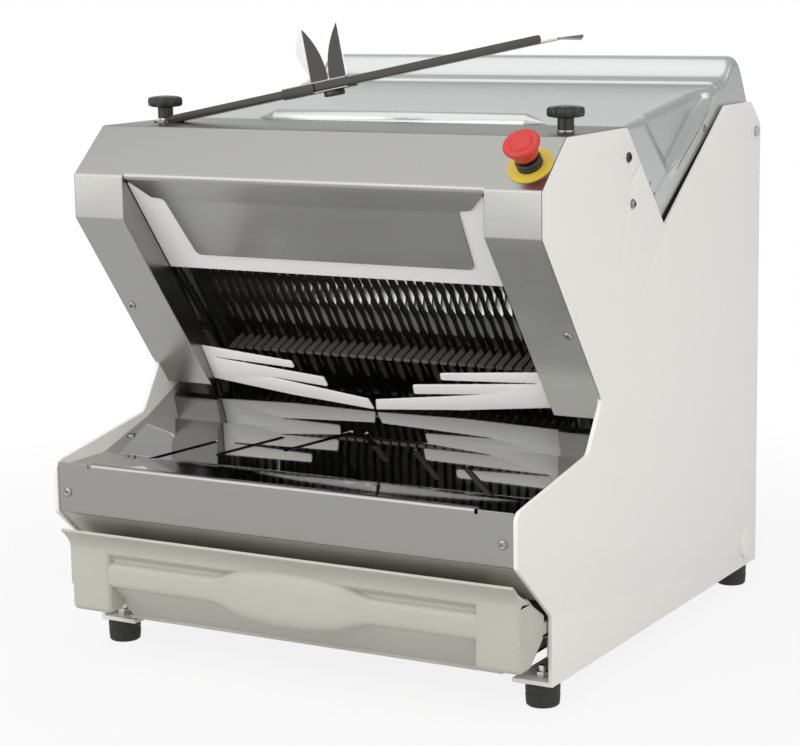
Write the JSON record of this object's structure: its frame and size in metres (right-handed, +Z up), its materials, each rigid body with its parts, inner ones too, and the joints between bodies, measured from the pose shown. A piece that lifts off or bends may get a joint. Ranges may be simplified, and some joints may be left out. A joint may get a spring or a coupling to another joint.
{
  "type": "bread slicer machine",
  "caption": "Table-top bread slicer: white side panels, steel hood, crossed blade frames, hinged lid, polished exit table, crumb drawer and swinging bag holder arm.",
  "frame": {"origin": "bottom centre of the machine's box, on the surface that the feet stand on", "axes": "+Z up, -Y towards the user and the exit table, +X to the user's right"},
  "size_m": [0.596, 0.68, 0.7215],
  "materials": {
    "panel_white": "smooth powder coat",
    "retainer_white": "satin white coat",
    "satin_steel": "fine grained stainless sheet",
    "polished_steel": "mirror polished stainless sheet",
    "lid_silver": "satin silver, deep drawn",
    "blade_steel": "dark oiled steel",
    "frame_black": "black paint",
    "comb_grey": "moulded",
    "drawer_stone": "fine moulded grain",
    "foot_rubber": "matte",
    "knob_black": "satin",
    "stop_red": "satin gloss",
    "stop_yellow": "satin",
    "bright_steel": "bright zinc",
    "machine_grey": "grey paint",
    "belt_black": "matte"
  },
  "bodies": {
    "housing": {"side_panel_left": "panel_white", "side_panel_right": "panel_white", "front_hood": "satin_steel", "deflector_plate": "satin_steel", "blade_shield": "retainer_white", "retainer_left": "retainer_white", "retainer_right": "retainer_white", "bread_table": "polished_steel", "front_fascia": "satin_steel", "feed_tray": "satin_steel", "guide_comb": "comb_grey", "rear_panel": "panel_white", "tie_bars": "bright_steel", "drawer_runners": "satin_steel", "feet": "foot_rubber", "foot_bolts": "bright_steel", "panel_bolts": "bright_steel", "hood_screws": "bright_steel", "side_caps": "panel_white", "estop_ring": "stop_yellow", "estop_collar": "knob_black", "estop_contact": "knob_black", "motor": "machine_grey", "motor_plate": "satin_steel", "crank_bearings": "machine_grey", "guide_rods": "bright_steel", "rod_brackets": "machine_grey", "hinge_pins": "bright_steel", "drive_belt": "belt_black", "cable_gland": "knob_black"},
    "lid": {"lid_shell": "lid_silver", "lid_seal": "foot_rubber", "lid_screws": "bright_steel", "bread_pusher": "satin_steel"},
    "drawer": {"crumb_drawer": "drawer_stone"},
    "front_blades": {"blade_frame_front": "frame_black", "blades_front": "blade_steel"},
    "rear_blades": {"blade_frame_rear": "frame_black", "blades_rear": "blade_steel"},
    "crank": {"crankshaft": "bright_steel", "crank_pulley": "machine_grey"},
    "front_conrods": {"conrods_front": "machine_grey"},
    "rear_conrods": {"conrods_rear": "machine_grey"},
    "motor_drive": {"motor_pulley": "machine_grey"},
    "stop_plunger": {"estop_plunger": "knob_black"},
    "stop_head": {"estop_head": "stop_red"},
    "left_knob": {"knob_left": "knob_black", "knob_left_stud": "bright_steel"},
    "right_knob": {"knob_right": "knob_black", "knob_right_stud": "bright_steel"},
    "bag_holder": {"bag_arm": "satin_steel"},
    "bag_slider": {"bag_clip": "satin_steel"},
    "slider_screw": {"clamp_screw": "knob_black"}
  },
  "joints": [
    {"name": "lid_hinge", "type": "hinge", "parent": "housing", "child": "lid", "pos_m": [0, 0.325, 0.574], "axis": [-1, 0, 0], "range_deg": [0, 75]},
    {"name": "drawer_slide", "type": "slide", "parent": "housing", "child": "drawer", "axis": [0, -1, 0], "range_m": [0, 0.28]},
    {"name": "front_blade_slide", "type": "slide", "parent": "housing", "child": "front_blades", "axis": [0, -0.6593, 0.7518], "range_m": [-0.012, 0.012]},
    {"name": "rear_blade_slide", "type": "slide", "parent": "housing", "child": "rear_blades", "axis": [0, -0.5483, 0.8363], "range_m": [-0.012, 0.012]},
    {"name": "crank_spin", "type": "hinge", "parent": "housing", "child": "crank", "pos_m": [0, 0.11362, 0.10432], "axis": [1, 0, 0], "continuous": true},
    {"name": "front_conrod_pivot", "type": "hinge", "parent": "crank", "child": "front_conrods", "pos_m": [0, 0.12317, 0.11159], "axis": [1, 0, 0], "continuous": true},
    {"name": "rear_conrod_pivot", "type": "hinge", "parent": "crank", "child": "rear_conrods", "pos_m": [0, 0.10407, 0.09706], "axis": [1, 0, 0], "continuous": true},
    {"name": "motor_spin", "type": "hinge", "parent": "housing", "child": "motor_drive", "pos_m": [0.2, 0.24562, 0.098], "axis": [1, 0, 0], "continuous": true},
    {"name": "stop_press", "type": "slide", "parent": "housing", "child": "stop_plunger", "axis": [0, 0.6603, -0.751], "range_m": [0, 0.0045], "stiffness_N_per_m": 900},
    {"name": "stop_twist", "type": "hinge", "parent": "stop_plunger", "child": "stop_head", "pos_m": [0.269, -0.25232, 0.57746], "axis": [0, -0.6603, 0.751], "range_deg": [-45, 45], "stiffness_Nm_per_rad": 0.08},
    {"name": "left_knob_turn", "type": "hinge", "parent": "housing", "child": "left_knob", "pos_m": [-0.259, -0.147, 0.62], "axis": [0, 0, 1], "continuous": true},
    {"name": "right_knob_turn", "type": "hinge", "parent": "housing", "child": "right_knob", "pos_m": [0.259, -0.147, 0.62], "axis": [0, 0, 1], "continuous": true},
    {"name": "bag_arm_swing", "type": "hinge", "parent": "housing", "child": "bag_holder", "pos_m": [-0.259, -0.147, 0.606], "axis": [0, 0, 1], "range_deg": [-100, 0]},
    {"name": "bag_slider_slide", "type": "slide", "parent": "bag_holder", "child": "bag_slider", "axis": [0.9813, 0, 0.1925], "range_m": [-0.09, 0.25]},
    {"name": "slider_screw_turn", "type": "hinge", "parent": "bag_slider", "child": "slider_screw", "pos_m": [-0.02806, -0.147, 0.64708], "axis": [-0.1925, 0, 0.9813], "continuous": true}
  ],
  "couplings": [
    {"joint": "rear_blade_slide", "follows": "front_blade_slide", "ratio": -1},
    {"joint": "front_conrod_pivot", "follows": "crank_spin", "ratio": -1},
    {"joint": "rear_conrod_pivot", "follows": "crank_spin", "ratio": -1},
    {"joint": "motor_spin", "follows": "crank_spin", "ratio": 2}
  ]
}
